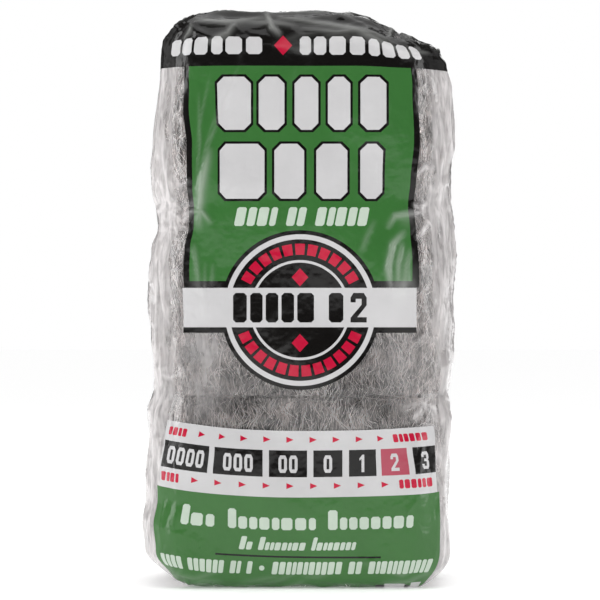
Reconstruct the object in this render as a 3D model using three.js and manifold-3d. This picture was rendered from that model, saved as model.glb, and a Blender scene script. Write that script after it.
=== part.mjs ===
// A retail pack of steel wool: folded wool pads, stacked in tiers and layers, in one sealed bag of thin film.
// The pack stands on its flat bottom end. Units are millimetres, +Z is up, the printed front looks along -Y,
// and the origin is the middle of the bottom end, on the surface that the pack stands on.
import * as THREE from "three";
import { mergeVertices } from "three/addons/utils/BufferGeometryUtils.js";
import Module from "manifold-3d";

const wasm = await Module();
wasm.setup();

// Driving dimensions.
const pack = { width: 124, depth: 92, height: 229.6, cornerRadius: 18, endRadius: 12 };
const film = { wall: 0.08, sealWidth: 98, sealDepth: 9, ventDiameter: 5, ventHeight: 212, ventAcross: 12 };
const wool = { tiers: 3, layers: 4, gap: 0.5, edgeRadius: 6, endRadius: 5, swell: 1.2 };

// How finely the round surfaces are cut into flat faces.
const bagFacets = { corner: 5, edge: 3, rings: 9 };
const padFacets = { corner: 2, edge: 2, rings: 1 };
const ventSegments = 16;

const tierHeight = pack.height / wool.tiers;
const layerDepth = pack.depth / wool.layers;

const materials = {
  film: new THREE.MeshStandardMaterial({
    color: 0xdfe2e1,
    roughness: 0.15,
    metalness: 0,
    transparent: true,
    opacity: 0.35,
  }),
  wool: new THREE.MeshStandardMaterial({ color: 0xa59f9d, roughness: 0.5, metalness: 0.8 }),
};

// A rectangle in plan, centred on the origin, with round corners.
function roundedRectangle(width, depth, radius) {
  const x = width / 2 - radius;
  const y = depth / 2 - radius;
  const outline = new THREE.Shape();
  outline.absarc(x, y, radius, 0, Math.PI / 2, false);
  outline.absarc(-x, y, radius, Math.PI / 2, Math.PI, false);
  outline.absarc(-x, -y, radius, Math.PI, 1.5 * Math.PI, false);
  outline.absarc(x, -y, radius, 1.5 * Math.PI, 2 * Math.PI, false);
  return outline;
}

// A block that stands on z = bottom, with upright corners of one radius and rounded ends of another.
function roundedBlock({ width, depth, height, cornerRadius, endRadius, bottom }, facets) {
  const core = roundedRectangle(width - 2 * endRadius, depth - 2 * endRadius, cornerRadius - endRadius);
  return new THREE.ExtrudeGeometry(core, {
    depth: height - 2 * endRadius,
    steps: facets.rings,
    curveSegments: facets.corner,
    bevelEnabled: true,
    bevelThickness: endRadius,
    bevelSize: endRadius,
    bevelSegments: facets.edge,
  }).translate(0, 0, bottom + endRadius);
}

// The wool swells between the joints of the tiers, and carries the bag with it. The ends stay flat.
function swollen(geometry) {
  const position = geometry.getAttribute("position");
  for (let i = 0; i < position.count; i++) {
    const middle = Math.abs(Math.sin((Math.PI * position.getZ(i)) / tierHeight));
    const pinch = wool.swell * (1 - middle);
    position.setX(i, position.getX(i) * (1 - (2 * pinch) / pack.width));
    position.setY(i, position.getY(i) * (1 - (2 * pinch) / pack.depth));
  }
  return geometry;
}

function toSolid(geometry) {
  const bare = geometry.clone();
  bare.deleteAttribute("normal");
  bare.deleteAttribute("uv");
  const merged = mergeVertices(bare, 1e-3);
  const vertProperties = new Float32Array(merged.getAttribute("position").array);
  const triVerts = new Uint32Array(merged.getIndex().array);
  return new wasm.Manifold(new wasm.Mesh({ numProp: 3, vertProperties, triVerts }));
}

function toGeometry(solid) {
  const mesh = solid.getMesh();
  const geometry = new THREE.BufferGeometry();
  geometry.setAttribute("position", new THREE.BufferAttribute(new Float32Array(mesh.vertProperties), 3));
  geometry.setIndex(new THREE.BufferAttribute(new Uint32Array(mesh.triVerts), 1));
  geometry.computeVertexNormals();
  return geometry;
}

// The pack's outer form, less a given thickness on every side.
function packForm(inset) {
  const size = {
    width: pack.width - 2 * inset,
    depth: pack.depth - 2 * inset,
    height: pack.height - 2 * inset,
    cornerRadius: pack.cornerRadius - inset,
    endRadius: pack.endRadius - inset,
    bottom: inset,
  };
  return toSolid(swollen(roundedBlock(size, bagFacets)));
}

// The bag: one skin of film all round, its heat seal folded flat across the top, and a vent hole at the back.
function filmBag() {
  const seal = new THREE.BoxGeometry(film.sealWidth, film.sealDepth, 2 * film.wall);
  seal.translate(0, film.sealDepth / 2, pack.height + film.wall / 2);
  const vent = new THREE.CylinderGeometry(
    film.ventDiameter / 2,
    film.ventDiameter / 2,
    pack.endRadius,
    ventSegments,
  );
  vent.translate(film.ventAcross, pack.depth / 2, film.ventHeight);
  const skin = packForm(0).subtract(packForm(film.wall));
  return toGeometry(skin.add(toSolid(seal)).subtract(toSolid(vent)));
}

// One pad: a batt of wool folded to a block, pressed into the shape that the bag leaves it.
function padSolid(tier, layer, room) {
  const size = {
    width: pack.width,
    depth: layerDepth - wool.gap,
    height: tierHeight - wool.gap,
    cornerRadius: wool.edgeRadius,
    endRadius: wool.endRadius,
    bottom: tier * tierHeight + wool.gap / 2,
  };
  const block = roundedBlock(size, padFacets);
  block.translate(0, (layer - (wool.layers - 1) / 2) * layerDepth, 0);
  return toGeometry(toSolid(block).intersect(room));
}

const steelWoolPack = new THREE.Group();
steelWoolPack.name = "steel_wool_pack";

const bag = new THREE.Mesh(filmBag(), materials.film);
bag.name = "film_bag";
steelWoolPack.add(bag);

const tierNames = ["bottom", "middle", "top"];
const room = packForm(film.wall + wool.gap);
for (let tier = 0; tier < wool.tiers; tier++) {
  for (let layer = 0; layer < wool.layers; layer++) {
    const pad = new THREE.Mesh(padSolid(tier, layer, room), materials.wool);
    pad.name = `wool_pad_${tierNames[tier]}_${layer + 1}`;
    steelWoolPack.add(pad);
  }
}

export default steelWoolPack;
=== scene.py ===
import math

import bmesh
import bpy
import numpy as np
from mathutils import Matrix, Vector
from mathutils.geometry import delaunay_2d_cdt
from mathutils.kdtree import KDTree


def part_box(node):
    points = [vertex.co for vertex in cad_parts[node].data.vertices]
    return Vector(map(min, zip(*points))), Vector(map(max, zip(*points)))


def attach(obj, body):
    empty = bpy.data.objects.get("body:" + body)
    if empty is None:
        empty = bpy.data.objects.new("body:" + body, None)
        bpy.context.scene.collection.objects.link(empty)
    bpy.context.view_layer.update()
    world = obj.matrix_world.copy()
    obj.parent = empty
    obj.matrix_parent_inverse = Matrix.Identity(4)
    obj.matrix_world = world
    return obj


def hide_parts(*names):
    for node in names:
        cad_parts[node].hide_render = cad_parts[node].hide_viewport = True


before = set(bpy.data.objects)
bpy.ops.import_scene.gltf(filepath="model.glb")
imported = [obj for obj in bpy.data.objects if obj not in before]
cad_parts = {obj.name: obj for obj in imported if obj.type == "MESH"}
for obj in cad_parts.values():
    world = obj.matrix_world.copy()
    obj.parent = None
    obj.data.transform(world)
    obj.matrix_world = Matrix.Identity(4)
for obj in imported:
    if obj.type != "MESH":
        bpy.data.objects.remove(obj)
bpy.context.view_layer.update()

mm = 0.001  # shapes are worked out in millimetres, and become metres when their mesh is made
quarter = math.pi / 2


# The form of the filled pack. A point is first placed in a plain block with round corners, and settled()
# then moves it to where the crowded wool and the shrunk film hold it. Film and wool go through it alike.

filmLow, filmHigh = (np.array(corner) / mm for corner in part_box("film_bag"))
padNames = sorted(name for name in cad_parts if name.startswith("wool_pad"))
tierNames = ["bottom", "middle", "top"]

pack = {
    "width": filmHigh[0] - filmLow[0],
    "depth": filmHigh[1] - filmLow[1],
    "height": 229.6,
    "cornerRadius": 18,
    "endRadius": 12,
    "sealHalf": 44,  # half the length of the line where the bag's end is sealed
    # (height, how far that side stands from the middle)
    "left": [(0, 56), (14, 61.3), (25, 62.3), (36, 60.2), (58, 60), (70, 60.5), (79, 58.4), (100, 59.3),
             (125, 59.3), (136, 58.6), (143, 56.8), (151, 57.3), (159, 58.5), (180, 57.2), (209, 55),
             (230, 54)],
    "right": [(0, 57), (15, 59.5), (38, 59.7), (54, 59.4), (65, 60.1), (76, 59), (92, 60.6), (110, 61),
              (131, 62.2), (143, 60.9), (154, 59.2), (162, 59.5), (178, 60.9), (200, 60.4), (211, 58.6),
              (221, 55), (230, 53)],
    # (across, how far the top has sunk)
    "slump": [(-62, 3.0), (-44, 0.6), (-34, 0), (20, 0), (46, 8.6), (62, 12.4)],
    "slumpFrom": 194,  # the height where the sinking starts
    "footLift": 3.2,  # how far the left end of the base curls up
    "pinch": 2.0,  # how deep the film draws in at a joint between tiers, front and back
    "pinchReach": 6,  # how far above and below the joint that goes
    "crown": 2.6,  # how far the middle of the front and back stands out past the edges
    "lumps": 0.6,  # how high the wool's soft lumps are, and how far apart: sideways, and front and back
    "lumpLengths": (38, 45),
}
tierHeight = pack["height"] / len(tierNames)
layerCount = len(padNames) // len(tierNames)
layerDepth = pack["depth"] / layerCount
halfWidth = pack["width"] / 2
halfDepth = pack["depth"] / 2


def eased(at, points):  # a smooth line through (place, value) points, level at each of them
    places, values = np.array(points, float).T
    i = np.clip(np.searchsorted(places, at) - 1, 0, len(places) - 2)
    f = np.clip((at - places[i]) / (places[i + 1] - places[i]), 0, 1)
    return values[i] + (values[i + 1] - values[i]) * f * f * (3 - 2 * f)


def waves(points, wavelength, seed, count=10):  # soft noise of about unit height, from crossing sine waves
    draw = np.random.default_rng(seed)
    ways = draw.normal(size=(count, points.shape[1]))
    steepness = 2 * math.pi / wavelength * draw.uniform(0.6, 1.5, count)
    ways *= (steepness / np.linalg.norm(ways, axis=1))[:, None]
    return np.sin(points @ ways.T + draw.uniform(0, 2 * math.pi, count)).sum(1) * math.sqrt(2 / count)


def settled(points):
    x, y, z = points.T
    across, deep = np.abs(x) / halfWidth, np.abs(y) / halfDepth
    outer = eased(across, [(0.4, 0), (1, 1)])
    side = np.where(x < 0, eased(z, pack["left"]), eased(z, pack["right"])) - halfWidth
    lump = pack["lumps"] * waves(points, pack["lumpLengths"][0], seed=5)
    newX = x + np.sign(x) * outer * (side + lump)
    joint = np.abs((z / tierHeight + 0.5) % 1 - 0.5) * tierHeight  # how far the nearest joint of tiers is
    inner = (z > tierHeight / 2) & (z < pack["height"] - tierHeight / 2)
    pinched = pack["pinch"] * np.exp(-((joint / pack["pinchReach"]) ** 2)) * (0.12 + 0.88 * across**3)
    drawnIn = np.where(inner, pinched, 0)
    midway = np.sin(math.pi * np.clip(z / pack["height"], 0, 1)) ** 0.5
    crown = pack["crown"] * (1 - np.clip(across, 0, 1) ** 2.5) * midway - 1.5
    outerY = eased(deep, [(0.5, 0), (1, 1)])
    lump = pack["lumps"] * waves(points, pack["lumpLengths"][1], seed=8)
    newY = y + np.sign(y) * outerY * (crown - drawnIn + lump)
    high = (z - pack["slumpFrom"]) / (pack["height"] - pack["slumpFrom"])
    sunk = eased(x, pack["slump"]) * np.clip(high, 0, 1.2) ** 2.4
    lift = pack["footLift"] * np.clip((-x - 28) / 34, 0, 1) ** 2 * np.clip(1 - z / 25, 0, 1)
    return np.stack([newX, newY, z - sunk + lift], axis=1)


# The film. Its flat artwork is measured in millimetres: across is 0 down the middle of the front and grows
# to the right, round the pack, up to the lap seam down the back. Up is the height on the standing pack, and
# runs on below 0 and past the top, over the ends to where they are sealed.

straight = halfWidth - pack["cornerRadius"]
cornerRun = quarter * pack["cornerRadius"]
sideRun = 2 * (halfDepth - pack["cornerRadius"])
halfGirth = 2 * straight + 2 * cornerRun + sideRun
endRun = halfDepth - pack["endRadius"]
endCorner = quarter * pack["endRadius"]
lowSeal = pack["endRadius"] - endCorner - endRun
highSeal = pack["height"] - lowSeal


def filmForm(across, up):  # the nominal place of artwork points, and the way the film faces there
    run = np.abs(across)
    turn = np.clip((run - straight) / pack["cornerRadius"], 0, quarter)
    turn += np.clip((run - straight - cornerRun - sideRun) / pack["cornerRadius"], 0, quarter)
    centreX = np.minimum(run, straight) - np.maximum(run - (halfGirth - straight), 0)
    centreY = pack["cornerRadius"] - halfDepth + np.clip(run - straight - cornerRun, 0, sideRun)
    lowTilt = np.clip((pack["endRadius"] - up) / pack["endRadius"], 0, quarter)
    highTilt = np.clip((up - pack["height"] + pack["endRadius"]) / pack["endRadius"], 0, quarter)
    tilt = highTilt - lowTilt
    inset = pack["endRadius"] * (1 - np.cos(tilt))
    reach = pack["cornerRadius"] - inset
    side = np.where(across < 0, -1.0, 1.0)
    x = centreX + reach * np.sin(turn)
    y = centreY - reach * np.cos(turn)
    closing = np.clip((lowSeal + endRun - up) / endRun, 0, 1)
    closing += np.clip((up - highSeal + endRun) / endRun, 0, 1)
    x += (np.minimum(x, pack["sealHalf"]) - x) * closing
    y *= 1 - closing
    z = np.clip(up, pack["endRadius"], pack["height"] - pack["endRadius"]) + pack["endRadius"] * np.sin(tilt)
    facing = [side * np.sin(turn) * np.cos(tilt), -np.cos(turn) * np.cos(tilt), np.sin(tilt)]
    return np.stack([side * x, y, z], axis=1), np.stack(facing, axis=1)


artwork = {
    "headerFoot": 207.6,  # the black header runs all round the bag above this height
    "panel": (-45.2, 44.6, 122.3),  # left and right edge of the green panel, and its foot
    "frameWidth": 2.6,
    "outline": 0.95,  # black line round the white blocks
    "chamfer": 3.0,
    "titleRows": [(181.2, 204.2, [(-33.2, -18.5), (-17.3, -5.2), (-3.1, 8.2), (10.1, 20.9), (22.9, 34.6)]),
                  (153.9, 177.6, [(-33.1, -13.1), (-11.1, 2.6), (5.5, 19.7), (22.9, 33.7)])],
    "roundel": (0, 110.8),
    "roundelRings": [("black", 31.6), ("white", 30.0), ("black", 28.0), ("white", 19.8), ("black", 18.8)],
    "arcRadii": (21.9, 26.3),
    "band": (-48.5, 46.4, 104.0, 119.6),
    "scale": (-57.0, 57.5, 36.6, 63.0),
    "gradeFoot": 44.6,
    "gradeHead": 55.2,
    "grades": [("0000", -56.5, -36.6), ("000", -34.3, -14.8), ("00", -12.3, 2.8), ("0", 5.3, 16.8),
               ("1", 19.4, 30.3), ("2", 32.4, 44.0), ("3", 46.6, 57.4)],
    # left and right edge of the lower green, and how far it runs under the base
    "base": (-58.8, 58.8, -14.0),
}


# a four-sided shape, or with its corners cut, an eight-sided one
def box(left, right, foot, head, lean=0, cut=0):
    if not cut:
        corners = [(left, foot), (right, foot), (right, head), (left, head)]
    else:
        corners = [(left + cut, foot), (right - cut, foot), (right, foot + cut), (right, head - cut),
                   (right - cut, head), (left + cut, head), (left, head - cut), (left, foot + cut)]
    return [(x + lean * (y - foot), y) for x, y in corners]


def ring(centre, radius, start=0.0, end=2 * math.pi, step=0.9):  # points along an arc
    count = max(3, math.ceil(radius * abs(end - start) / step))
    angles = start + (end - start) * np.arange(count) / (count if end - start == 2 * math.pi else count - 1)
    return [(centre[0] + radius * math.cos(a), centre[1] + radius * math.sin(a)) for a in angles]


def diamond(x, y, wide, high):
    return [(x - wide, y), (x, y - high), (x + wide, y), (x, y + high)]


digitOutlines = {  # plain numerals in a box one wide and one high: the outline, and then any hole in it
    "0": [box(0, 1, 0, 1, cut=0.2), box(0.34, 0.66, 0.2, 0.8)],
    "1": [[(0.35, 0), (0.68, 0), (0.68, 1), (0.45, 1), (0.12, 0.8), (0.12, 0.66), (0.35, 0.76)]],
    "2": [[(0, 0), (1, 0), (1, 0.18), (0.42, 0.18), (1, 0.58), (1, 0.84), (0.82, 1), (0.18, 1), (0, 0.84),
           (0, 0.68), (0.32, 0.68), (0.32, 0.8), (0.68, 0.8), (0.68, 0.6), (0, 0.16)]],
    "3": [[(0, 0.16), (0.18, 0), (0.82, 0), (1, 0.16), (1, 0.42), (0.86, 0.52), (1, 0.62), (1, 0.84),
           (0.82, 1),
           (0.18, 1), (0, 0.84), (0, 0.7), (0.32, 0.7), (0.32, 0.82), (0.68, 0.82), (0.68, 0.6), (0.35, 0.6),
           (0.35, 0.44), (0.68, 0.44), (0.68, 0.18), (0.32, 0.18), (0.32, 0.3), (0, 0.3)]],
}


def number(shapes, text, left, right, foot, head, ink, ground):
    wide = (right - left) / len(text)
    for place, digit in enumerate(text):
        for part, outline in enumerate(digitOutlines[digit]):
            points = [(left + (place + 0.1 + 0.8 * x) * wide, foot + y * (head - foot)) for x, y in outline]
            shapes.append((ground if part else ink, points))


# A line of print as plain blocks. Words holds how many blocks each word has, and low is the height of all
# but the first block of a word.
def blockLine(shapes, ink, left, right, foot, head, words, seed, lean=0, low=1.0):
    draw = np.random.default_rng(seed)
    widths = [draw.uniform(0.75, 1.25, count) for count in words]
    unit = (right - left) / (sum(w.sum() for w in widths) + 0.9 * (len(words) - 1))
    x = left
    for blocks in widths:
        for place, wide in enumerate(blocks):
            top = head if place == 0 else foot + low * (head - foot)
            shapes.append((ink, box(x, x + 0.8 * wide * unit, foot, top, lean, cut=0.16 * unit)))
            x += wide * unit
        x += 0.9 * unit


def printShapes():  # every field of ink on the film, in the order they are laid down
    a, shapes = artwork, []
    left, right, foot = a["panel"]
    edge = a["frameWidth"]
    header = a["headerFoot"]
    shapes.append(("black", box(-halfGirth - 1, halfGirth + 1, header, highSeal + 1)))
    blockLine(shapes, "white", -55.5, -13.4, 212.2, 219.2, [6], seed=2)
    shapes.append(("red", diamond(-6.7, 215.7, 3.6, 3.9)))
    blockLine(shapes, "white", -0.1, 52.4, 212.0, 219.2, [8], seed=3)
    shapes.append(("black", box(left - edge, right + edge, foot - edge, header)))
    shapes.append(("green", box(left, right, foot, header)))
    for rowFoot, rowHead, blocks in a["titleRows"]:
        for blockLeft, blockRight in blocks:
            thin = a["outline"]
            shapes.append(("black", box(blockLeft, blockRight, rowFoot, rowHead, cut=a["chamfer"])))
            shapes.append(("white", box(blockLeft + thin, blockRight - thin, rowFoot + thin, rowHead - thin,
                                        cut=a["chamfer"] - 0.3)))
    blockLine(shapes, "paleGreen", -26.2, 27.2, 144.1, 151.5, [4, 2, 5], seed=4, lean=0.2)
    x, y = a["roundel"]
    bandLeft, bandRight, bandFoot, bandHead = a["band"]
    shapes.append(("black", box(bandLeft, bandRight, bandFoot - 2.2, bandFoot)))
    for ink, radius in a["roundelRings"]:
        shapes.append((ink, ring((x, y), radius)))
    inner, outer = a["arcRadii"]
    for middle, count in ((90, 11), (270, 12)):  # degrees round the roundel, and blocks in that arc
        for place in range(count):
            angle = math.radians(middle + (place - (count - 1) / 2) * 11.6)
            half = math.radians(4.4)
            outerArc = ring((x, y), outer, angle - half, angle + half)
            shapes.append(("red", outerArc + ring((x, y), inner, angle + half, angle - half)))
    for rise in (-13, 13):
        shapes.append(("red", diamond(x, y + rise, 3.3, 3.6)))
    shapes.append(("white", box(bandLeft, bandRight, bandFoot, bandHead)))
    blockLine(shapes, "black", -26.5, 7.2, 105.9, 117.6, [5], seed=6)
    blockLine(shapes, "black", 11.4, 18.6, 105.9, 117.6, [1], seed=7)
    number(shapes, "2", 19.2, 27.2, 105.9, 117.6, "black", "white")
    scaleLeft, scaleRight, scaleFoot, scaleHead = a["scale"]
    shapes.append(("white", box(scaleLeft, scaleRight, scaleFoot, scaleHead)))
    for text, boxLeft, boxRight in a["grades"]:
        # the chosen grade's box is red; its paler pink is a painted highlight over it
        ground = "redWithPaintedGlare" if text == "2" else "black"
        shapes.append((ground, box(boxLeft, boxRight, a["gradeFoot"], a["gradeHead"])))
        half = 2.1 * len(text)
        middle = (boxLeft + boxRight) / 2
        foot, head = a["gradeFoot"] + 1.7, a["gradeHead"] - 2.0
        number(shapes, text, middle - half, middle + half, foot, head, "white", ground)
    for rowUp, first, pitch in ((59.4, -40.6, 9.15), (41.1, -41.6, 9.4)):
        for place in range(9):
            tip = first + place * pitch
            shapes.append(("red", [(tip - 1.4, rowUp - 1.2), (tip + 1.5, rowUp), (tip - 1.4, rowUp + 1.2)]))
    blockLine(shapes, "red", -55.0, -46.9, 57.6, 60.8, [4], seed=8)
    blockLine(shapes, "red", 38.5, 54.5, 57.6, 60.8, [6], seed=9)
    blockLine(shapes, "red", -56.2, -48.1, 39.2, 42.8, [4], seed=10)
    blockLine(shapes, "red", 39.3, 55.2, 39.2, 42.8, [6], seed=11)
    baseLeft, baseRight, baseFoot = a["base"]
    shapes.append(("lowGreen", box(baseLeft, baseRight, baseFoot, scaleFoot)))
    blockLine(shapes, "paleGreen", -45.9, 46.6, 23.6, 31.4, [3, 8, 8], seed=12, low=0.62)
    blockLine(shapes, "paleGreen", -24.3, 22.0, 15.5, 20.7, [2, 8, 8], seed=13, lean=0.25, low=0.6)
    shapes.append(("black", [(-33, 12.9), (31.9, 12.1), (31.9, 12.8), (-33, 13.6)]))
    blockLine(shapes, "paleGreen", -56.6, -19, 5.6, 10.9, [4, 6, 2, 1], seed=14, lean=0.15)
    shapes.append(("paleGreen", ring((-15.2, 8.2), 1.1, step=0.7)))
    blockLine(shapes, "paleGreen", -11.4, 55.6, 5.6, 10.9, [11, 2, 11], seed=15, lean=0.15)
    shapes.append(("black", box(30, 57, -14, -1.5)))
    shapes.append(("white", box(34, 44, -9, -0.2)))
    shapes.append(("white", box(48, 55, -9, 0.4)))
    return shapes


film = {
    "frontStep": 0.95,  # how far apart the mesh points are on the front, and elsewhere
    "step": 1.9,
    "frontHalf": 76,
    "frontBeyond": 4,  # how far the front's mesh runs on past the height of the pack, at both ends
    "inkEdgeStep": 1.2,
    "weld": 0.03,  # mesh points closer than this become one
    "offFloor": 0.02,
    "ventRadius": 2.5,
    "ventUp": 212,
    "ventAcross": 12,  # from the lap seam
    # how the shrunk film carried the artwork sideways at its left and right edge: (height, move)
    "carriedLeft": [(36, -1.5), (44, -1.2), (55, 0.3), (66, 3.0), (100, 0), (140, -0.4), (150, 0.2),
                    (160, 0.2),
                    (176, -0.5), (194, -2.8), (207, -4.0), (216, -4.0), (228, 0)],
    "carriedRight": [(36, 1.2), (44, 0.5), (55, -0.3), (66, -2.4), (100, 0), (140, -0.2), (150, -0.4),
                     (162, 0.3),
                     (190, 1.6), (206, 1.6), (228, 0)],
    "liftedLeft": 4.7,  # how far the foot of the artwork is drawn up at 60 mm from the middle
    "liftedRight": 2.0,
    # (round from the middle of the front, how cloudy the film is there): it stands off the wool at the
    # corners
    "cloudy": [(45, 0), (59, 0.54), (74, 0.54), (92, 0.16), (114, 0.16), (132, 0.46), (144, 0.46),
               (162, 0.04)],
    # painted highlight along creases: how much of it a full crease puts on the clear film, and on the ink
    "creaseHighlightHaze": 0.7,  # how much of the film's clearness a full crease takes
    "inkCreaseHighlight": 0.36,  # how much a full crease pales the ink under it
    # (across, up, half width, half height, how cloudy): patches of painted sheen, where the film is made
    # milkier, and below 0, where it is made clearer
    "sheenPatches": [(-39, 97, 9, 9, 0.4), (-40, 78, 8, 12, 0.3), (43, 92, 11, 13, 0.22), (47, 72, 8, 8, 0.2),
                (-47, 15, 6, 14, 0.3), (60, 84, 11, 22, -0.42), (62, 32, 7, 24, -0.2),
                (-51, 199, 5, 8, -0.35),
                (-50, 176, 4, 12, -0.3), (51, 188, 5, 12, -0.3), (-58, 186, 5, 9, -0.25),
                (59, 166, 5, 8, -0.25)],
    # (across, up, half width, half height, how pale): spots of painted glare, where the ink is paled
    "stretched": [(41, 121, 4.5, 7, 0.8), (40, 131, 2.5, 6, 0.5), (-42, 119, 3, 6, 0.35),
                  (43, 146, 3, 3, 0.4)],
    "finDepth": 9,  # of the strip where the top end is sealed, which is folded down towards the back
    "finStep": 0.45,
    "ribPitch": 1.8,  # of the ribs that the hot jaws press into that strip
    "ribHeight": 0.16,
    "finThickness": 0.25,
    # how far it stands off the end at the seal, and how much further for each millimetre out
    "finLift": 0.3,
    "finRise": 0.06,
}


# where the shrinking has carried each point of the artwork, over the pack's surface
def carried(across, up):
    run = np.abs(across)
    pull = eased(run, [(20, 0), (47, 1), (75, 1), (110, 0)])
    move = np.where(across < 0, eased(up, film["carriedLeft"]), eased(up, film["carriedRight"])) * pull
    most = np.where(across < 0, film["liftedLeft"], film["liftedRight"])
    lift = most * np.minimum(run / 60, 1) ** 2 * eased(run, [(62, 1), (110, 0)])
    lift *= eased(up, [(-10, 0), (8, 0.6), (30, 1), (62, 1), (98, 0)])
    return across + move, up + lift


def ridgeHeight(across, up, line, width, height):  # how high one crease stands at each artwork point
    line = np.array(line, float)
    total = np.zeros(len(across))
    low, high = line.min(0) - 4 * width, line.max(0) + 4 * width
    near = np.nonzero((across > low[0]) & (across < high[0]) & (up > low[1]) & (up < high[1]))[0]
    if not len(near):
        return total
    points = np.stack([across[near], up[near]], axis=1)
    lengths = np.linalg.norm(np.diff(line, axis=0), axis=1)
    starts = np.concatenate([[0], np.cumsum(lengths)])
    away, along = np.full(len(near), 1e9), np.zeros(len(near))
    for i, length in enumerate(lengths):
        way = (line[i + 1] - line[i]) / length
        onLine = np.clip((points - line[i]) @ way, 0, length)
        distance = np.linalg.norm(points - line[i] - onLine[:, None] * way, axis=1)
        closer = distance < away
        away[closer], along[closer] = distance[closer], (starts[i] + onLine[closer]) / starts[-1]
    taper = np.clip(4 * along * (1 - along), 0, 1) ** 0.6
    total[near] = height * taper * np.exp(-((away / width) ** 1.5))
    return total


creases = {
    # listed creases: (points along it, width, height)
    "placed": [
        ([(-24, 208), (-33, 188), (-44, 160)], 0.75, 0.6),
        ([(-33, 192), (-39, 176), (-44, 154)], 0.75, 0.55),
        ([(-37, 205), (-41, 190), (-44, 172)], 0.75, 0.5),
        ([(-43, 198), (-42, 178), (-43, 160)], 0.8, 0.6),
        ([(-37, 176), (-41, 158), (-43, 142)], 2.4, 1.3),
        ([(-52, 148), (-46, 150), (-41, 150), (-36, 145)], 1.3, 1.2),
        ([(-44, 138), (-42, 126), (-41, 118)], 1.2, 0.8),
        ([(-38.5, 131), (-39, 118), (-39, 106)], 1.0, 0.6),
        ([(-35, 130), (-36, 120)], 1.0, 0.5),
        ([(55, 151), (46, 149), (38, 148), (34, 143)], 1.3, 1.2),
        ([(43, 143), (37, 137), (35, 128), (37, 116)], 1.5, 1.4),
        ([(41, 139), (39, 130), (39, 117)], 1.5, 1.1),
        ([(44, 136), (42, 128), (42, 117)], 1.3, 1.0),
        ([(30, 147), (26, 139), (24, 134)], 1.2, 0.6),
        ([(46, 139), (49, 141), (53, 146), (55, 143)], 0.95, 1.4),
        ([(46, 153), (50, 151), (54, 154)], 1.0, 1.3),
        ([(47, 164), (51, 168), (54, 166)], 1.0, 1.1),
        ([(-46, 149), (-51, 146), (-56, 150)], 0.95, 1.3),
        ([(-47, 143), (-52, 144), (-55, 148)], 0.95, 1.1),
        ([(-46, 163), (-50, 160), (-55, 165)], 1.0, 1.1),
        ([(46, 67), (52, 73)], 1.2, 0.9),
        ([(46, 97), (52, 103)], 1.2, 0.8),
        ([(-12, 228), (10, 225), (34, 219), (50, 214)], 1.6, 1.0),
        ([(-2, 223), (14, 221), (30, 222), (44, 218)], 1.4, 0.8),
        ([(8, 219), (22, 222), (34, 216)], 1.2, 0.7),
        ([(-14, 232), (-11, 223), (-7, 219)], 1.4, 1.2),
        ([(-50, 229), (-30, 226), (-14, 228)], 2.0, 1.0),
        ([(-54, 219), (-49, 223), (-50, 226)], 1.3, 0.9),
    ],
    # fields of small creases: (how many, left, right, foot, head, middle of their direction in degrees,
    # spread, shortest, longest, width, height), placed alike on both sides of the pack
    "fields": [
        (60, 47, 150, 16, 206, 90, 30, 8, 30, 1.2, 0.55),
        (34, 47, 150, 140, 162, 8, 40, 6, 22, 1.3, 0.8),
        (34, 47, 150, 66, 90, 8, 40, 6, 22, 1.3, 0.8),
        (30, 150, 200, 16, 206, 80, 30, 14, 44, 1.6, 0.7),
        (40, 0, 200, 216, 236, 12, 26, 10, 34, 1.5, 0.9),
        (40, 0, 200, -12, 10, 12, 26, 10, 30, 1.5, 0.6),
        (16, 0, 44, 16, 216, 70, 40, 8, 20, 1.3, 0.2),
        (60, 0, 200, 232, 262, 84, 24, 8, 30, 1.8, 1.0),
        (60, 0, 200, -34, -6, 84, 24, 8, 30, 1.8, 0.6),
    ],
    # folds that run on without an end, as sharp lines between hollows: (wavelength, how much longer they are
    # along x, along z, height, on the sides from this far round, on the ends)
    "folds": [
        (8, 1, 4.5, 0.35, True),
        (17, 1, 3.0, 0.55, True),
        (5.5, 4, 1, 0.3, False),
        (12, 3.6, 1, 0.7, False),
        (26, 2.0, 1, 1.1, False),
    ],
    "foldShare": 0.6,  # how wide a fold is, as a share of the hollows between
    # at this crease height the painted crease highlight is full
    "fullHeight": 1.2,  # a crease this high whitens the film fully
    "lapHalf": 7,  # the lap seam's half width, its height, and how wide its edge is
    "lapHeight": 0.5,
    "lapEdge": 0.8,
    "seed": 41,
}


# how high the endless folds stand at each point, and where the sides' ones are
def folded(points, across, up):
    run = np.abs(across)
    sides = eased(run, [(46, 0), (60, 1), (150, 1), (170, 0.45)])
    sides *= eased(up, [(2, 0), (16, 1), (206, 1), (216, 0.3)])
    ends = np.maximum(eased(up, [(211, 0), (224, 1)]), 0.6 * eased(up, [(-6, 1), (4, 0)]))
    high, sharpest = np.zeros(len(points)), np.zeros(len(points))
    for place, (wavelength, longX, longZ, height, onSides) in enumerate(creases["folds"]):
        stretched = points / (longX, 1, longZ)
        line = np.exp(-((waves(stretched, wavelength, seed=60 + place) / creases["foldShare"]) ** 2))
        high += height * (line * sides if onSides else (line - 0.4) * ends)
        sharpest = np.maximum(sharpest, line * sides) if onSides else sharpest
    return high, sharpest
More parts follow.
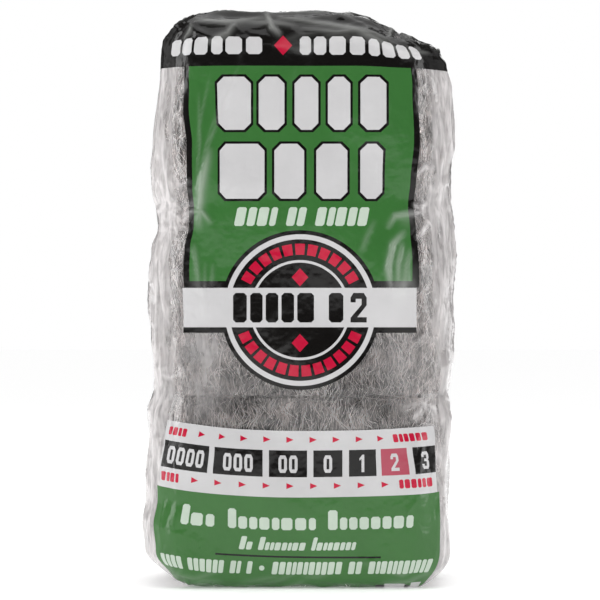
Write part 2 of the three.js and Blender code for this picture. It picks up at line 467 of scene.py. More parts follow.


# how far the film stands off the wool, the painted highlight along its creases, and where it is folded
def relief(points, across, up):
    high = np.zeros(len(across))
    for line, width, height in creases["placed"]:
        high = np.maximum(high, ridgeHeight(across, up, line, width, height))
    draw = np.random.default_rng(creases["seed"])
    for field in creases["fields"]:
        count, left, right, foot, head, middle, spread, shortest, longest, width, height = field
        for _ in range(count):
            side = draw.choice([-1, 1])
            start = np.array([side * draw.uniform(left, right), draw.uniform(foot, head)])
            angle = math.radians(draw.normal(middle, spread / 2))
            length = draw.uniform(shortest, longest)
            bend = draw.normal(0, 0.12) * length
            way = np.array([math.cos(angle), math.sin(angle)])
            bow = np.array([-way[1], way[0]]) * bend
            line = [start - way * length / 2, start + bow, start + way * length / 2]
            size = draw.uniform(0.4, 1)
            wide = width * draw.uniform(0.75, 1.3)
            for turn in (-2 * halfGirth, 0, 2 * halfGirth):
                shifted = [point + (turn, 0) for point in line]
                high = np.maximum(high, ridgeHeight(across, up, shifted, wide, height * size))
    # painted highlight along the creases, from how high they stand
    paintedHighlight = np.clip(high / creases["fullHeight"], 0, 1) ** 1.5
    folds, onFolds = folded(points, across, up)
    fromSeam = halfGirth - np.abs(across)
    lap = creases["lapHeight"] * np.clip(1 - (fromSeam - creases["lapHalf"]) / creases["lapEdge"], 0, 1)
    return high + folds + lap, paintedHighlight, onFolds


def gridPoints():  # points all over the artwork's area, closer together on the front
    points = []
    def rows(left, right, foot, head, step):
        count = max(1, round((head - foot) / (step * 0.866)))
        for row in range(count + 1):
            up = foot + (head - foot) * row / count
            shift = 0.5 * step * (row % 2)
            points.extend((x, up) for x in np.arange(left + step / 2 + shift, right - step / 4, step))
    front, step, beyond = film["frontHalf"], film["step"], film["frontBeyond"]
    top = pack["height"] + beyond
    rows(-front, front, -beyond, top, film["frontStep"])
    for side in (-1, 1):
        left, right = sorted((side * front, side * halfGirth))
        rows(left, right, -beyond, top, step)
    rows(-halfGirth, halfGirth, lowSeal + step, -beyond - step / 2, step)
    rows(-halfGirth, halfGirth, top + step / 2, highSeal - step, step)
    return points


def borderLoop():  # the edge of the artwork's area, its points matched so that the edges can be joined
    step = film["step"]
    half = pack["sealHalf"]
    seal = np.linspace(-half, half, 2 * math.ceil(half / step) + 1)
    foot = [(-halfGirth, lowSeal)] + [(-halfGirth - x, lowSeal) for x in seal if x < 0][::-1]
    foot += [(x, lowSeal) for x in seal] + [(halfGirth - x, lowSeal) for x in seal if x > 0][::-1]
    foot += [(halfGirth, lowSeal)]
    rise = np.linspace(lowSeal, highSeal, round((highSeal - lowSeal) / step))[1:-1]
    return (foot + [(halfGirth, up) for up in rise] + [(x, highSeal) for x, _ in foot[::-1]]
            + [(-halfGirth, up) for up in rise[::-1]])


def divided(outline, step):  # the same closed outline with more points along its long edges
    points = []
    for (x0, y0), (x1, y1) in zip(outline, outline[1:] + outline[:1]):
        count = max(1, math.ceil(math.hypot(x1 - x0, y1 - y0) / step))
        points += [(x0 + (x1 - x0) * i / count, y0 + (y1 - y0) * i / count) for i in range(count)]
    return points


def inside(points, outline):  # which points lie in a closed outline
    within = np.zeros(len(points), bool)
    x, y = points.T
    for (x0, y0), (x1, y1) in zip(outline, outline[1:] + outline[:1]):
        if y0 != y1:
            crosses = (y0 > y) != (y1 > y)
            within ^= crosses & (x < x0 + (x1 - x0) * (y - y0) / (y1 - y0))
    return within


inkNames = ["clear", "black", "green", "lowGreen", "white", "paleGreen", "red", "redWithPaintedGlare"]


def cutArtwork():  # triangles over the whole film, split along every edge of ink, and the ink of each
    shapes = printShapes()
    border = borderLoop()
    vent = ring((halfGirth - film["ventAcross"], film["ventUp"]), film["ventRadius"])
    left, right, low, high = -halfGirth, halfGirth, lowSeal, highSeal
    points, edges = [], []
    for outline in [border, vent] + [divided(outline, film["inkEdgeStep"]) for _, outline in shapes]:
        first = len(points)
        clipped = np.clip(outline, (left, low), (right, high)).tolist()
        points += clipped
        edges += [(first + i, first + (i + 1) % len(clipped)) for i in range(len(clipped))]
    taken = KDTree(len(points))
    for i, (x, y) in enumerate(points):
        taken.insert((x, y, 0), i)
    taken.balance()
    for x, y in gridPoints():
        room = 0.45 * (film["frontStep"] if abs(x) < film["frontHalf"] else film["step"])
        if taken.find((x, y, 0))[2] > room:
            points.append((x, y))
    flat, _, faces, *_ = delaunay_2d_cdt([Vector(p) for p in points], edges, [], 0, 1e-4)
    flat, faces = np.array(flat, float), np.array(faces)
    middles = flat[faces].mean(1)
    ink = np.zeros(len(faces), int)
    for name, outline in shapes:
        corners = np.array(outline)
        low, high = corners.min(0), corners.max(0)
        near = np.nonzero(((middles > low) & (middles < high)).all(1))[0]
        ink[near[inside(middles[near], outline)]] = inkNames.index(name)
    keep = ~inside(middles, vent) & inside(middles, box(left, right, lowSeal, highSeal))
    return flat, faces[keep], ink[keep]


def inScene(name, data):
    result = bpy.data.objects.new(name, data)
    bpy.context.scene.collection.objects.link(result)
    return result


def newObject(name, points, faces, materials, slots=None):
    mesh = bpy.data.meshes.new(name)
    mesh.from_pydata((np.asarray(points) * mm).tolist(), [], faces)
    for material in materials:
        mesh.materials.append(material)
    if slots is not None:
        mesh.polygons.foreach_set("material_index", np.asarray(slots, np.int32))
    mesh.polygons.foreach_set("use_smooth", [True] * len(mesh.polygons))
    return inScene(name, mesh)


def storeOnPoints(target, name, values):
    target.data.attributes.new(name, "FLOAT", "POINT").data.foreach_set("value", values)


# joins points that lie together, and drops what that leaves without an area
def joinEdges(target, distance):
    work = bmesh.new()
    work.from_mesh(target.data)
    bmesh.ops.remove_doubles(work, verts=work.verts, dist=distance * mm)
    bmesh.ops.dissolve_degenerate(work, edges=work.edges, dist=distance * mm)
    bmesh.ops.recalc_face_normals(work, faces=work.faces)
    work.to_mesh(target.data)
    work.free()


def layFilm(across, up, off=0.0):  # where artwork points come to lie, and how cloudy the film is there
    across, up = carried(across, up)
    points, facing = filmForm(across, up)
    high, paintedHighlight, onFolds = relief(points, across, up)
    laid = settled(points) + facing * (high + off)[:, None]
    laid[:, 2] = np.maximum(laid[:, 2], film["offFloor"])
    # The film's milkiness: haze where it stands off the wool, raised along the side folds as painted
    # highlight, with the painted crease highlight and the patches of painted sheen added.
    hazeAndSheen = eased(np.abs(across), film["cloudy"]) * (0.7 + 0.5 * onFolds)
    hazeAndSheen += film["creaseHighlightHaze"] * paintedHighlight
    for sheenX, sheenUp, wide, high, amount in film["sheenPatches"]:
        hazeAndSheen += amount * np.exp(-(((across - sheenX) / wide) ** 2) - ((up - sheenUp) / high) ** 2)
    # spots of painted glare pale the ink
    for spotX, spotUp, wide, high, amount in film["stretched"]:
        spot = amount * np.exp(-(((across - spotX) / wide) ** 2) - ((up - spotUp) / high) ** 2)
        paintedHighlight = np.maximum(paintedHighlight, spot * (0.8 + 0.2 * waves(points * (1, 1, 0.3), 2.5, seed=7)))
    return laid, np.clip(hazeAndSheen, 0, 1), np.clip(paintedHighlight, 0, 1)


def sealFin():  # the flat ribbed strip along the top seal, as the points and faces of a thin closed slab
    half = pack["sealHalf"]
    columns, rows = round(2 * half / film["finStep"]), round(film["finDepth"] / (3 * film["finStep"]))
    x, y = np.meshgrid(np.linspace(-half, half, columns + 1), np.linspace(0.3, film["finDepth"], rows + 1))
    x, y = x.ravel(), y.ravel()
    across = np.where(x < 0, -1, 1) * (halfGirth - np.abs(x))
    ribs = film["ribHeight"] * (1 + np.sin(2 * math.pi * x / film["ribPitch"]))
    ribs = ribs + film["finLift"] + film["finRise"] * y
    below, *_ = layFilm(across, highSeal - y, ribs)
    above, *_ = layFilm(across, highSeal - y, ribs + film["finThickness"])
    count, wide = len(below), columns + 1
    quads = [(r * wide + c, r * wide + c + 1, (r + 1) * wide + c + 1, (r + 1) * wide + c)
             for r in range(rows) for c in range(columns)]
    edge = ([(0, c) for c in range(columns)] + [(r, columns) for r in range(rows)]
            + [(rows, c) for c in range(columns, 0, -1)] + [(r, 0) for r in range(rows, 0, -1)])
    loop = [r * wide + c for r, c in edge]
    walls = [(a, b, b + count, a + count) for a, b in zip(loop, loop[1:] + loop[:1])]
    faces = [quad[::-1] for quad in quads] + [tuple(i + count for i in quad) for quad in quads] + walls
    return np.vstack([below, above]), faces


def makeFilm(materials):
    flat, faces, ink = cutArtwork()
    laid, hazeAndSheen, paintedHighlight = layFilm(*flat.T)
    finPoints, finFaces = sealFin()
    allFaces = faces.tolist() + [tuple(i + len(laid) for i in face) for face in finFaces]
    allInk = np.concatenate([ink, np.full(len(finFaces), inkNames.index("black"))])
    bag = newObject("printed_film_bag", np.vstack([laid, finPoints]), allFaces, materials, allInk)
    for name, values in (("hazeAndSheen", hazeAndSheen), ("paintedHighlight", paintedHighlight)):
        padded = np.concatenate([values, np.zeros(len(finPoints))])
        storeOnPoints(bag, name, padded)
    joinEdges(bag, film["weld"])
    bag.data.calc_loop_triangles()
    print("film:", len(bag.data.loop_triangles), "triangles")
    return bag


def linear(code):  # an sRGB hex colour as the linear values that the shaders take
    parts = [int(code[i : i + 2], 16) / 255 for i in (1, 3, 5)]
    return tuple(c / 12.92 if c <= 0.04045 else ((c + 0.055) / 1.055) ** 2.4 for c in parts) + (1.0,)


def nodeAdder(tree):
    # Links are by input name or number. Each is a value, an output, or a node for its first output.
    def add(kind, links=None, **settings):
        node = tree.nodes.new(kind)
        for key, value in settings.items():
            setattr(node, key, value)
        for key, value in (links or {}).items():
            if isinstance(value, bpy.types.Node):
                value = value.outputs[0]
            if isinstance(value, bpy.types.NodeSocket):
                tree.links.new(value, node.inputs[key])
            else:
                node.inputs[key].default_value = value
        return node
    return add


def maths(add, operation, first, second, **settings):
    return add("ShaderNodeMath", {0: first, 1: second}, operation=operation, **settings)


def vectors(add, operation, first, second):
    return add("ShaderNodeVectorMath", {0: first, 1: second}, operation=operation)


def noise(add, place, size, detail, **links):  # its size is in millimetres
    return add("ShaderNodeTexNoise", {"Vector": place, "Scale": 1 / (size * mm), "Detail": detail, **links})


def newMaterial(name):
    material = bpy.data.materials.new(name)
    material.use_nodes = True
    material.node_tree.nodes.clear()
    return material, nodeAdder(material.node_tree)


def filmBump(add, strength):
    # Shrunk film is never quite flat: soft puckers 7 mm apart, and fine ones 2 mm apart drawn out up the
    # pack.
    place = add("ShaderNodeTexCoord").outputs["Object"]
    soft = noise(add, place, 7, 2.0)
    drawnOut = add("ShaderNodeMapping", {"Vector": place, "Scale": (1, 1, 0.35)})
    fine = noise(add, drawnOut, 2.2, 2.0)
    broad = add("ShaderNodeBump", {"Height": soft, "Strength": strength, "Distance": 1.2 * mm})
    return add("ShaderNodeBump", {"Height": fine, "Strength": strength, "Distance": 0.16 * mm,
                                  "Normal": broad})


def clearFilm():
    # Polypropylene film, cast thin and heat shrunk: it lets nearly all light through head on, mirrors
    # softly, and turns milky where it stands off the wool, or is seen edge on. Along its creases and folds,
    # and in listed patches, that milkiness is painted highlight and sheen.
    material, add = newMaterial("clear_shrunk_polypropylene_film")
    bump = filmBump(add, 0.75)
    edgeOn = add("ShaderNodeLayerWeight", {"Blend": 0.5})
    haze = add("ShaderNodeMapRange", {"Value": edgeOn.outputs["Facing"], "From Min": 0.15, "From Max": 0.9,
                                      "To Min": 0.05, "To Max": 0.5})
    # Where it has shrunk most it is drawn into silky streaks, 2 mm apart and running up the pack.
    place = add("ShaderNodeTexCoord").outputs["Object"]
    drawnOut = add("ShaderNodeMapping", {"Vector": place, "Scale": (1, 1, 0.2)})
    silk = noise(add, drawnOut, 2.0, 4.0, Distortion=0.7)
    streak = add("ShaderNodeMapRange", {"Value": silk, "From Min": 0.33, "From Max": 0.67, "To Min": 0.45,
                                        "To Max": 1.35})
    # The film's milkiness: part haze, part painted sheen and painted highlight.
    hazeAndSheen = add("ShaderNodeAttribute", attribute_name="hazeAndSheen").outputs["Fac"]
    streaked = maths(add, "MULTIPLY", hazeAndSheen, streak)
    total = maths(add, "ADD", haze, streaked, use_clamp=True)
    clear = add("ShaderNodeBsdfTransparent", {"Color": linear("#FCFCFC")})
    milky = add("ShaderNodeBsdfDiffuse", {"Color": linear("#DAD6D6"), "Normal": bump})
    body = add("ShaderNodeMixShader", {0: total, 1: clear, 2: milky})
    mirror = add("ShaderNodeFresnel", {"IOR": 1.5, "Normal": bump})
    gloss = add("ShaderNodeBsdfAnisotropic", {"Color": (1, 1, 1, 1), "Roughness": 0.09, "Normal": bump})
    both = add("ShaderNodeMixShader", {0: mirror, 1: body, 2: gloss})
    add("ShaderNodeOutputMaterial", {"Surface": both})
    return material


inkColours = {
    "black": "#0E0C0B",
    "green": "#396E35",
    "lowGreen": "#3D6F37",
    "white": "#CBCACB",
    "paleGreen": "#C2D0C1",
    "red": "#BE1238",
    # red paled by a painted highlight
    "redWithPaintedGlare": "#B04D5E",
}


def filmInk(name, code):
    # Flexographic ink printed on the inside of the film, so the film's gloss lies over it. A film of ink
    # this thin is uneven: its colour drifts a little from place to place.
    material, add = newMaterial(f"flexo_ink_{name}")
    place = add("ShaderNodeTexCoord").outputs["Object"]
    drift = noise(add, place, 16, 3.0)
    shade = add("ShaderNodeMapRange", {"Value": drift, "To Min": 0.9, "To Max": 1.1})
    tint = add("ShaderNodeHueSaturation", {"Color": linear(code), "Value": shade})
    # Painted highlight: along creases and at glare spots the ink is paled towards light grey.
    creased = add("ShaderNodeAttribute", attribute_name="paintedHighlight").outputs["Fac"]
    pale = maths(add, "MULTIPLY", creased, film["inkCreaseHighlight"])
    highlighted = add("ShaderNodeMix", {"Factor": pale, 6: tint, 7: linear("#D8DAD6")}, data_type="RGBA")
    skin = add("ShaderNodeBsdfPrincipled", {"Base Color": highlighted.outputs[2], "Roughness": 0.18, "IOR": 1.42,
                                            "Normal": filmBump(add, 0.45)})
    add("ShaderNodeOutputMaterial", {"Surface": skin})
    return material


def steelStrand():
    # Low-carbon steel, shaved off a wire in fine three-sided strands: bright, and scored along its length.
    # Each strand's colour is scaled by a random painted glint, for how its twist catches the light.
    material, add = newMaterial("shaved_steel_strand")
    place = add("ShaderNodeTexCoord").outputs["Object"]
    patch = noise(add, place, 9, 3.0)
    # painted glint: a random brightness for each strand
    tone = add("ShaderNodeAttribute", attribute_name="tone").outputs["Fac"]
    paintedGlint = maths(add, "POWER", tone, 2.0)
    mixed = maths(add, "ADD", patch, paintedGlint)
    shade = add("ShaderNodeMapRange", {"Value": mixed, "From Min": 0.4, "From Max": 1.35, "To Min": 0.14,
                                       "To Max": 3.1})
    tint = add("ShaderNodeHueSaturation", {"Color": linear("#FBF4F2"), "Value": shade})
    steel = add("ShaderNodeBsdfPrincipled", {"Base Color": tint, "Metallic": 0.5, "Roughness": 0.4})
    add("ShaderNodeOutputMaterial", {"Surface": steel})
    return material


def woolDepth():
    # The inside of the batt, strands under strands: dull, because little light gets in and out again; the
    # gaps between its painted strands are painted shade.
    material, add = newMaterial("packed_steel_wool")
    place = add("ShaderNodeTexCoord").outputs["Object"]
    # Noise 0.8 mm across and six times as long stands for the strands that lie too deep to be modelled.
    # They lean both ways.
    fibres = []
    for lean in (0.45, -0.35):
        along = add("ShaderNodeMapping", {"Vector": place, "Rotation": (lean, lean, 0),
                                          "Scale": (1, 1, 0.16)})
        fibres.append(noise(add, along, 0.8, 2.0, Distortion=0.8).outputs["Fac"])
    fibre = maths(add, "MAXIMUM", fibres[0], fibres[1])
    clump = noise(add, place, 11, 3.0)
    share = maths(add, "MULTIPLY", clump, 0.5)
    mixed = maths(add, "ADD", fibre, share)
    # painted shade: where the noise holds no strand, the colour drops dark
    ramp = add("ShaderNodeMapRange", {"Value": mixed, "From Min": 0.7, "From Max": 0.98, "To Min": 0.15,
                                      "To Max": 1.95})
    tint = add("ShaderNodeHueSaturation", {"Color": linear("#B3ACAA"), "Value": ramp})
    bump = add("ShaderNodeBump", {"Height": fibre, "Strength": 1.0, "Distance": 0.5 * mm})
    steel = add("ShaderNodeBsdfPrincipled", {"Base Color": tint, "Metallic": 0.2, "Roughness": 0.5,
                                             "Normal": bump})
    add("ShaderNodeOutputMaterial", {"Surface": steel})
    return material


wool = {
    "gap": 0.3,  # between pads
    "inset": 0.9,  # from the nominal film to the body of a pad
    "strandInset": 0.35,  # from the nominal film to any strand
    "skin": 8,  # how far in from its faces a pad is grooved and lumpy
    "lumpLength": 9,
    "lumpDepth": 0.35,
    "outerBand": 2.5,  # strands grow on faces less than this far under the film, and fade out over the next
    "outerFade": 2.0,
    "edgeRadius": 0.6,
    "bodyStep": 4.0,
    "plies": 3,  # how many thicknesses a pad is folded to
    "plyDepth": 0.9,  # how deep the groove between two plies is, and half its width
    "plyWidth": 1.3,
    "strandLength": 8,
    "strandRadius": 0.1,
    "strandPoints": 5,
    "wave": 2.6,  # how far a strand wanders from a straight line
    "rise": 0.55,  # how far it stands off the body
    "density": 0.56,  # strands on each square millimetre of the front
    "sideShare": 0.68,  # the share of them on the sides, the back, the base, and where nothing shows
    "backShare": 0.55,
    "baseShare": 0.25,
    "hiddenShare": 0.02,
    "underInk": 5,  # how far in under the print the full share reaches
    "seed": 17,
}


def padBlock(low, high, radius, step):  # a block with round edges, as an even grid over all six sides
    size = high - low
    counts = np.maximum(2, np.round(size / step).astype(int))
    inner = size / 2 - radius
    points, faces, index = [], [], {}
    def vertex(grid):
        if grid not in index:
            at = (np.array(grid) / counts - 0.5) * size
            core = np.clip(at, -inner, inner)
            out = at - core
            length = np.linalg.norm(out)
            index[grid] = len(points)
            points.append((low + high) / 2 + core + (out / length * radius if length > 0 else 0))
        return index[grid]
    for axis in range(3):
        u, v = [(1, 2), (2, 0), (0, 1)][axis]
        for end in (0, counts[axis]):
            for i in range(counts[u]):
                for j in range(counts[v]):
                    corners = []
                    for du, dv in ((0, 0), (1, 0), (1, 1), (0, 1)):
                        grid = [0, 0, 0]
                        grid[axis], grid[u], grid[v] = int(end), i + du, j + dv
                        corners.append(vertex(tuple(grid)))
                    faces.append(corners if end else corners[::-1])
    return np.array(points), faces


def keptInside(points, inset):  # pushes points in until they clear the nominal film by that much
    x, y, z = points.T
    z = np.clip(z, inset, pack["height"] - inset)
    toEnd = np.minimum(z, pack["height"] - z)
    radius = pack["endRadius"]
    rounding = radius - np.sqrt(np.maximum(radius**2 - np.maximum(radius - toEnd, 0) ** 2, 0)) + inset
    reach = pack["cornerRadius"] - rounding
    coreX, coreY = halfWidth - pack["cornerRadius"], halfDepth - pack["cornerRadius"]
    overX, overY = np.maximum(np.abs(x) - coreX, 0), np.maximum(np.abs(y) - coreY, 0)
    over = np.hypot(overX, overY)
    shrink = np.minimum(1, reach / np.maximum(over, 1e-9))
    newX = np.sign(x) * (np.minimum(np.abs(x), coreX) + overX * shrink)
    newY = np.sign(y) * (np.minimum(np.abs(y), coreY) + overY * shrink)
    return np.stack([newX, newY, z], axis=1)


def plyGrooves(points, low, high):  # how far in the ends of the folded plies are drawn at each point
    deep = (points[:, 1] - low[1]) / (high[1] - low[1]) * wool["plies"]
    groove = np.abs(deep - np.round(deep)) / wool["plies"] * (high[1] - low[1])
    inner = (np.round(deep) > 0) & (np.round(deep) < wool["plies"])
    return np.where(inner, wool["plyDepth"] * np.exp(-((groove / wool["plyWidth"]) ** 2)), 0)


def strandTree(strandMaterial):
    w = wool
    tree = bpy.data.node_groups.new("wool_strands", "GeometryNodeTree")
    add = nodeAdder(tree)
    face = tree.interface
    face.new_socket("Geometry", in_out="INPUT", socket_type="NodeSocketGeometry")
    inputs = [("Density", "Float", w["density"] / mm**2), ("Length", "Float", w["strandLength"] * mm),
              ("Strand Radius", "Float", w["strandRadius"] * mm), ("Wave", "Float", w["wave"] * mm),
              ("Rise", "Float", w["rise"] * mm), ("Points", "Int", w["strandPoints"]),
              ("Seed", "Int", w["seed"])]
    for name, kind, value in inputs:
        face.new_socket(name, in_out="INPUT", socket_type="NodeSocket" + kind).default_value = value
    face.new_socket("Geometry", in_out="OUTPUT", socket_type="NodeSocketGeometry")
    given = add("NodeGroupInput").outputs
    shown = add("GeometryNodeInputNamedAttribute", {"Name": "shown"}, data_type="FLOAT")
    density = maths(add, "MULTIPLY", shown, given["Density"])
    scattered = add("GeometryNodeDistributePointsOnFaces",
                    {"Mesh": given["Geometry"], "Density": density, "Seed": given["Seed"]})
    normal = scattered.outputs["Normal"]
    kept = scattered.outputs["Points"]
    for name, value in (("root", add("GeometryNodeInputPosition")), ("facing", normal)):
        kept = add("GeometryNodeStoreNamedAttribute", {"Geometry": kept, "Name": name, "Value": value},
                   data_type="FLOAT_VECTOR", domain="POINT")
    # Each strand starts straight, along the face, most of them near upright.
    stray = add("FunctionNodeRandomValue", {"Min": (-0.45, -0.45, 0.5), "Max": (0.45, 0.45, 1.0),
                                            "Seed": given["Seed"]}, data_type="FLOAT_VECTOR")
    into = vectors(add, "DOT_PRODUCT", stray, normal).outputs["Value"]
    through = add("ShaderNodeVectorMath", {0: normal, "Scale": into}, operation="SCALE")
    flat = vectors(add, "SUBTRACT", stray, through)
    turn = add("FunctionNodeAlignRotationToVector", {"Vector": flat}, axis="Z")
    size = add("FunctionNodeRandomValue", {"Min": 0.45, "Max": 1.6, "Seed": 3}, data_type="FLOAT")
    half = maths(add, "MULTIPLY", given["Length"], 0.5)
    start = add("ShaderNodeCombineXYZ", {"Z": maths(add, "MULTIPLY", half, -1.0)})
    end = add("ShaderNodeCombineXYZ", {"Z": half})
    line = add("GeometryNodeCurvePrimitiveLine", {"Start": start, "End": end})
    stepped = add("GeometryNodeResampleCurve", {"Curve": line, "Count": given["Points"]})
    strands = add("GeometryNodeInstanceOnPoints", {"Points": kept, "Instance": stepped, "Rotation": turn,
                                                   "Scale": size.outputs["Value"]})
    # a random painted glint for each strand
    tone = add("FunctionNodeRandomValue", {"Seed": 8}, data_type="FLOAT")
    toned = add("GeometryNodeStoreNamedAttribute", {"Geometry": strands, "Name": "tone",
                                                    "Value": tone.outputs["Value"]}, data_type="FLOAT",
                                                    domain="INSTANCE")
    loose = add("GeometryNodeRealizeInstances", {"Geometry": toned})
    # It wanders, and then lies down again in the plane of the face, here and there a little off it.
    place = add("GeometryNodeInputPosition")
    root = add("GeometryNodeInputNamedAttribute", {"Name": "root"}, data_type="FLOAT_VECTOR")
    facing = add("GeometryNodeInputNamedAttribute", {"Name": "facing"}, data_type="FLOAT_VECTOR")
    ripple = noise(add, place, 7, 2.0)
    centred = vectors(add, "SUBTRACT", ripple.outputs["Color"], (0.5, 0.5, 0.5))
    reach = maths(add, "MULTIPLY", given["Wave"], 4.0)
    wander = add("ShaderNodeVectorMath", {0: centred, "Scale": reach}, operation="SCALE")
    moved = vectors(add, "ADD", place, wander)
    fromRoot = vectors(add, "SUBTRACT", moved, root)
    away = vectors(add, "DOT_PRODUCT", fromRoot, facing).outputs["Value"]
    level = noise(add, moved, 3, 2.0)
    stand = add("ShaderNodeMapRange", {"Value": level, "From Min": 0.3, "From Max": 0.7, "To Min": -0.1 * mm,
                                       "To Max": given["Rise"]})
    shift = maths(add, "SUBTRACT", stand, away)
    off = add("ShaderNodeVectorMath", {0: facing, "Scale": shift}, operation="SCALE")
    there = vectors(add, "ADD", moved, off)
    laid = add("GeometryNodeSetPosition", {"Geometry": loose, "Position": there})
    profile = add("GeometryNodeCurvePrimitiveCircle", {"Resolution": 3, "Radius": given["Strand Radius"]})
    solid = add("GeometryNodeCurveToMesh", {"Curve": laid, "Profile Curve": profile, "Fill Caps": True})
    real = add("GeometryNodeRealizeInstances", {"Geometry": solid})
    coated = add("GeometryNodeSetMaterial", {"Geometry": real, "Material": strandMaterial})
    add("NodeGroupOutput", {0: coated})
    return tree


def meshArrays(mesh):
    points = np.zeros(len(mesh.vertices) * 3)
    mesh.vertices.foreach_get("co", points)
    faces = [tuple(face.vertices) for face in mesh.polygons]
    return points.reshape(-1, 3) / mm, faces


def seenThroughFilm(points):  # how much of the wool shows at each point: little of it where ink covers it
    x, y, z = points.T
    front = y < pack["cornerRadius"] - halfDepth
    back = y > halfDepth - pack["cornerRadius"]
    seen = np.where(front, 1, np.where(back, wool["backShare"], wool["sideShare"]))
    seen = np.where(z < 2, wool["baseShare"], seen)
    seen = seen * eased(z, [(artwork["headerFoot"], 1), (artwork["headerFoot"] + wool["underInk"], 0)])
    panelLeft, panelRight, panelFoot = artwork["panel"]
    baseLeft, baseRight, _ = artwork["base"]
    covers = [(panelLeft, panelRight, panelFoot, pack["height"]),
              (baseLeft, baseRight, -1, artwork["scale"][3])]
    for left, right, foot, head in covers:
        under = np.minimum(np.minimum(x - left, right - x), np.minimum(z - foot, head - z))
        seen = np.where(front, seen * (1 - np.clip(under / wool["underInk"], 0, 1)), seen)
    return seen


def makePad(name, tree, materials):
    tier, layer = tierNames.index(name.split("_")[2]), int(name.split("_")[3]) - 1
    gap = wool["gap"]
    low = np.array([-halfWidth, layer * layerDepth - halfDepth + gap / 2, tier * tierHeight + gap / 2])
    high = np.array([halfWidth, low[1] + layerDepth - gap, low[2] + tierHeight - gap])
    points, faces = padBlock(low, high, wool["edgeRadius"], wool["bodyStep"])
    points = keptInside(points, wool["inset"])
    outward = points - np.clip(points, low + wool["skin"], high - wool["skin"])
    outward /= np.maximum(np.linalg.norm(outward, axis=1), 1e-6)[:, None]
    lumps = (1 + waves(points, wool["lumpLength"], seed=tier * 4 + layer)).clip(0, 2)
    grooves = plyGrooves(points, low, high) * (np.abs(outward[:, 1]) < 0.7)  # not on the front and back
    points -= outward * (grooves + wool["lumpDepth"] * lumps)[:, None]
    body = newObject(name + "_body", points, faces, [materials[0]])
    outer = np.linalg.norm(points - keptInside(points, wool["inset"] + wool["outerBand"]), axis=1)
    near = np.clip(outer / wool["outerFade"], 0, 1) ** 2
    shown = np.maximum(near * seenThroughFilm(points), wool["hiddenShare"])
    storeOnPoints(body, "shown", shown)
    modifier = body.modifiers.new("strands", "NODES")
    modifier.node_group = tree
    seedSocket = next(item.identifier for item in tree.interface.items_tree if item.name == "Seed")
    modifier[seedSocket] = wool["seed"] + tier * layerCount + layer
    evaluated = body.evaluated_get(bpy.context.evaluated_depsgraph_get())
    strands = bpy.data.meshes.new_from_object(evaluated)
    body.modifiers.remove(modifier)
    strandPoints, strandFaces = meshArrays(strands)
    tone = np.zeros(len(strandPoints))
    strands.attributes["tone"].data.foreach_get("value", tone)
    strandPoints = keptInside(strandPoints, wool["strandInset"])
    allPoints = settled(np.vstack([points, strandPoints]))
    shifted = [tuple(i + len(points) for i in face) for face in strandFaces]
    slots = np.concatenate([np.zeros(len(faces), np.int32), np.ones(len(shifted), np.int32)])
    pad = newObject(name + "_wool", allPoints, faces + shifted, materials, slots)
    pad.data.polygons.foreach_set("use_smooth", slots == 1)  # the strands are smooth, and the body is flat
    storeOnPoints(pad, "tone", np.concatenate([np.zeros(len(points)), tone]))
    bpy.data.objects.remove(body)
    bpy.data.meshes.remove(strands)
    return pad


inks = [clearFilm()] + [filmInk(name, inkColours[name]) for name in inkNames[1:]]
bag = makeFilm(inks)
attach(bag, "root")
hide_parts("film_bag")

woolMaterials = [woolDepth(), steelStrand()]
strandMaker = strandTree(woolMaterials[1])
for name in padNames:
    pad = makePad(name, strandMaker, woolMaterials)
    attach(pad, "root")
    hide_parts(name)
    pad.data.calc_loop_triangles()
    print(pad.name, len(pad.data.loop_triangles), "triangles")


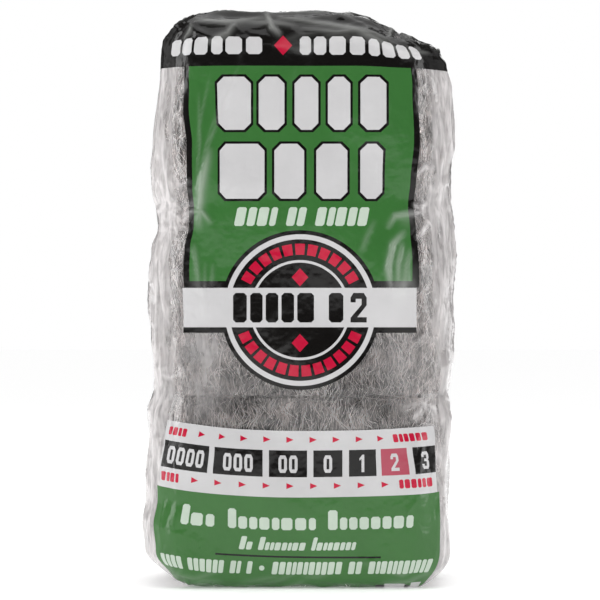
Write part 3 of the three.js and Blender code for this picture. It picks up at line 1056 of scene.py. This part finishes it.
studio = {
    "cameraAway": 1.3,
    "cameraHeight": 0.1148,
    "lens": 190,
    # how bright the surroundings are to everything but the camera, which sees them white
    "airStrength": 0.08,
    # (name, place, what it points at, its width and height, watts), in metres
    "lights": [
        ("left_softbox", (-1.04, -0.68, 0.42), (0, 0, 0.12), (0.40, 0.9), 5.6),
        ("right_softbox", (1.06, -0.66, 0.42), (0, 0, 0.12), (0.40, 0.9), 4.4),
        ("left_rim_softbox", (-1.1, 0.15, 0.35), (0, 0, 0.12), (0.8, 0.9), 1.6),
        ("right_rim_softbox", (1.1, 0.15, 0.35), (0, 0, 0.12), (0.8, 0.9), 0.8),
        ("back_softbox", (0.3, 1.7, 0.8), (0, 0, 0.12), (0.9, 0.9), 5.0),
    ],
    "overhead": (2.3, 85),  # its strength, and how wide it is in degrees
    "floorGlow": 0.24,
    "floor": (-6, 6, -6, 6),  # its left, right, front and back edge
}


def softbox(name, place, aim, size, power):
    light = bpy.data.lights.new(name, "AREA")
    light.shape = "RECTANGLE"
    light.size, light.size_y = size
    light.energy = power
    lamp = inScene(name, light)
    lamp.location = place
    lamp.rotation_euler = (Vector(aim) - Vector(place)).to_track_quat("-Z", "Y").to_euler()


def paperFloor():
    left, right, front, back = studio["floor"]
    corners = [(left, front, 0), (right, front, 0), (right, back, 0), (left, back, 0)]
    material, add = newMaterial("matt_white_paper")
    paper = add("ShaderNodeBsdfPrincipled",
                {"Base Color": linear("#FCFCFC"), "Roughness": 0.8, "Emission Color": (1, 1, 1, 1),
                 "Emission Strength": studio["floorGlow"]})
    add("ShaderNodeOutputMaterial", {"Surface": paper})
    newObject("paper_floor", np.array(corners) / mm, [(0, 1, 2, 3)], [material])


def overhead(power, spread):  # one soft light from above that falls evenly on all of the floor
    light = bpy.data.lights.new("overhead_diffuser", "SUN")
    light.energy = power
    light.angle = math.radians(spread)
    inScene("overhead_diffuser", light).location = (0, 0, 2)


paperFloor()
overhead(*studio["overhead"])
for light in studio["lights"]:
    softbox(*light)

world = bpy.data.worlds.new("studio_air")
world.use_nodes = True
air = world.node_tree.nodes["Background"]
air.inputs["Color"].default_value = (1, 1, 1, 1)
add = nodeAdder(world.node_tree)
seen = add("ShaderNodeLightPath").outputs["Is Camera Ray"]
strength = add("ShaderNodeMapRange", {"Value": seen, "To Min": studio["airStrength"], "To Max": 1.0})
world.node_tree.links.new(strength.outputs[0], air.inputs["Strength"])
bpy.context.scene.world = world
bpy.context.scene.view_settings.view_transform = "Standard"

camera = inScene("camera", bpy.data.cameras.new("camera"))
camera.location = (0, -studio["cameraAway"], studio["cameraHeight"])
camera.rotation_euler = (quarter, 0, 0)
camera.data.lens = studio["lens"]
bpy.context.scene.camera = camera
print("studio: ready")
